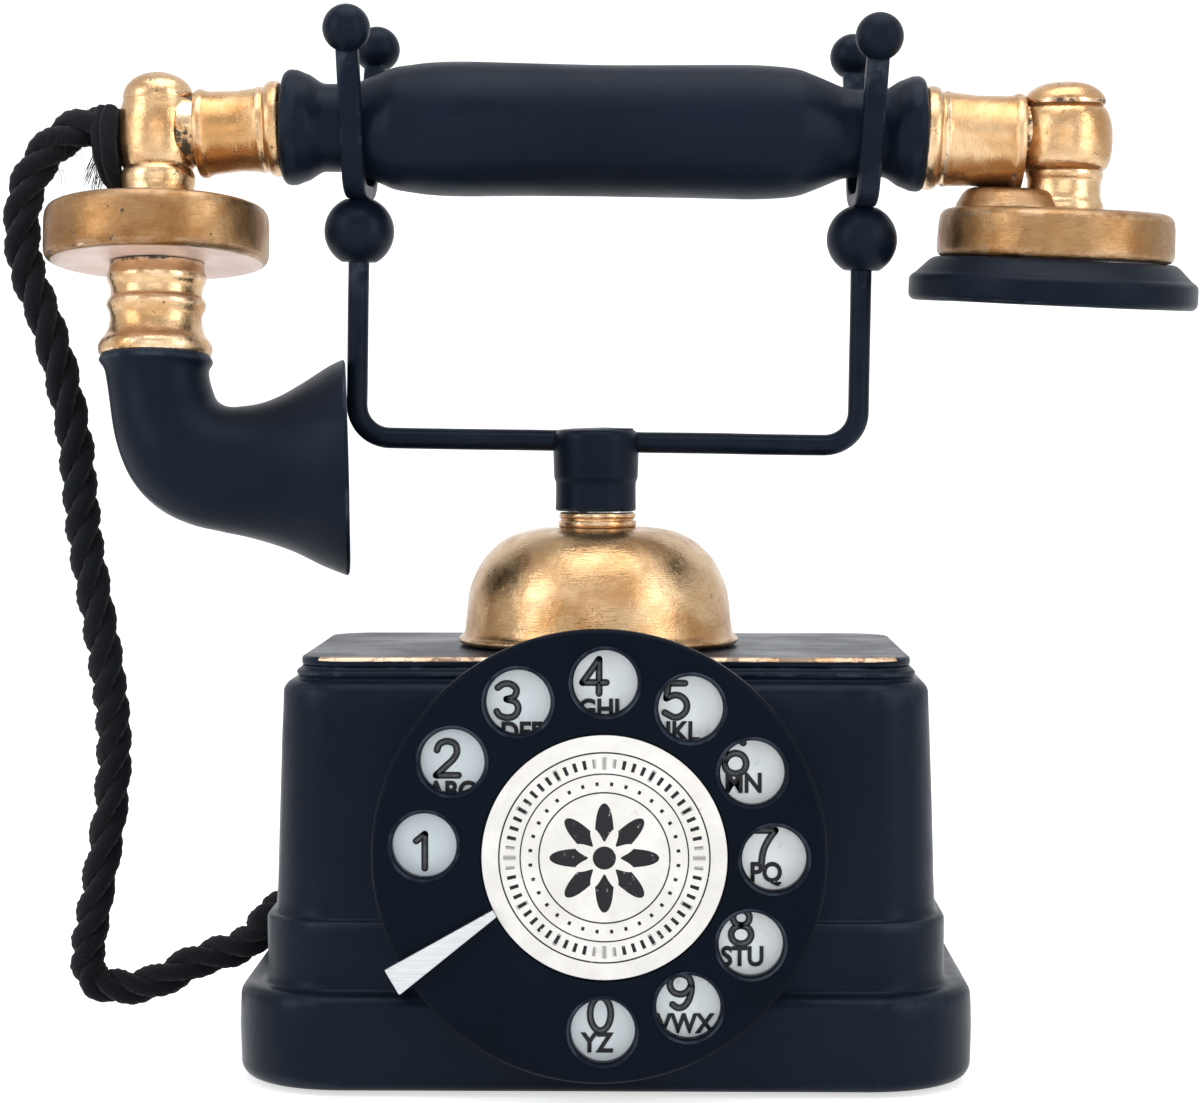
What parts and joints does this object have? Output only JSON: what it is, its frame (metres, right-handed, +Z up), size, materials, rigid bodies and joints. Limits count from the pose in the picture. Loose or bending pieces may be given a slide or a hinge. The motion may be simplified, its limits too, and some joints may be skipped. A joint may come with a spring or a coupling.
{
  "type": "french-style cradle telephone",
  "caption": "Black and gilt table telephone with a stepped casing, one gong, a wire cradle, a finger wheel and a handset with a curved horn mouthpiece.",
  "frame": {"origin": "on the table, at the middle of the felt pad, straight under the axis of the gong and the cradle's rod", "axes": "+Z up; +X to the receiver, along the handset; the dial faces -Y"},
  "size_m": [0.2525, 0.1081, 0.2166],
  "materials": {
    "black": "satin black lacquer with small scuffs",
    "ebonite": "satin black moulding",
    "gilt": "brushed gilt lacquer with dark wear",
    "gear_brass": "plain brass",
    "steel": "plain steel",
    "bright_steel": "brushed",
    "felt": "felt",
    "bush": "matt black",
    "copper": "enamelled wire",
    "ivory": "moulded",
    "phenolic": "moulded",
    "enamel": "pale enamel",
    "label": "card under clear lacquer",
    "capsule": "plain",
    "cord": "black twisted cotton"
  },
  "bodies": {
    "base": {"casing": "black", "top_plate": "black", "trim_strip": "gilt", "base_plate": "steel", "base_pad": "felt", "base_screws": "steel", "line_bush": "bush", "cord_gland": "bush", "gong_post": "steel", "gong": "gilt", "gong_nut": "gilt", "ringer_frame": "steel", "ringer_coils": "copper", "hook_switch": "ivory", "terminal_block": "phenolic", "induction_coil": "copper", "condenser": "steel", "dial_case": "steel", "number_plate": "enamel", "finger_stop": "bright_steel", "governor_bridge": "steel", "handset_cord": "cord"},
    "clapper": {"clapper": "gilt"},
    "dial": {"finger_wheel": "black", "label_disc": "label", "dial_shaft": "steel", "main_gear": "gear_brass"},
    "governor": {"governor_pinion": "gear_brass"},
    "cradle": {"plunger_rod": "steel", "cradle_socket": "black", "cradle_frame": "black", "cradle_balls": "black", "fork_left": "black", "fork_right": "black", "fork_tips": "black"},
    "handset": {"grip": "ebonite", "grip_rod": "steel", "ferrule_left": "gilt", "ferrule_right": "gilt", "elbow_left": "gilt", "elbow_right": "gilt", "receiver_case": "gilt", "receiver_cap": "ebonite", "receiver_capsule": "capsule", "transmitter_disc": "gilt", "transmitter_neck": "gilt", "mouthpiece_horn": "ebonite", "handset_gland": "bush"}
  },
  "joints": [
    {"name": "dial_spin", "type": "hinge", "parent": "base", "child": "dial", "pos_m": [0, -0.056, 0.0487], "axis": [0, -1, 0], "range_deg": [0, 284], "stiffness_Nm_per_rad": 0.01, "springref_deg": -28.65},
    {"name": "governor_spin", "type": "hinge", "parent": "base", "child": "governor", "pos_m": [-0.01471, -0.046, 0.06104], "axis": [0, -1, 0], "range_deg": [-858, 6]},
    {"name": "handset_lift", "type": "slide", "parent": "base", "child": "handset", "axis": [-0.1961, 0, 0.9806], "range_m": [0, 0.046], "deforming": ["handset_cord"]},
    {"name": "cradle_rise", "type": "slide", "parent": "base", "child": "cradle", "axis": [0, 0, 1], "range_m": [0, 0.0042]},
    {"name": "clapper_swing", "type": "hinge", "parent": "base", "child": "clapper", "pos_m": [-0.01411, -0.0121, 0.0895], "axis": [0, 0, 1], "range_deg": [-5, 5]}
  ],
  "couplings": [
    {"joint": "governor_spin", "follows": "dial_spin", "ratio": -3},
    {"joint": "cradle_rise", "follows": "handset_lift", "ratio": 0.086957}
  ]
}
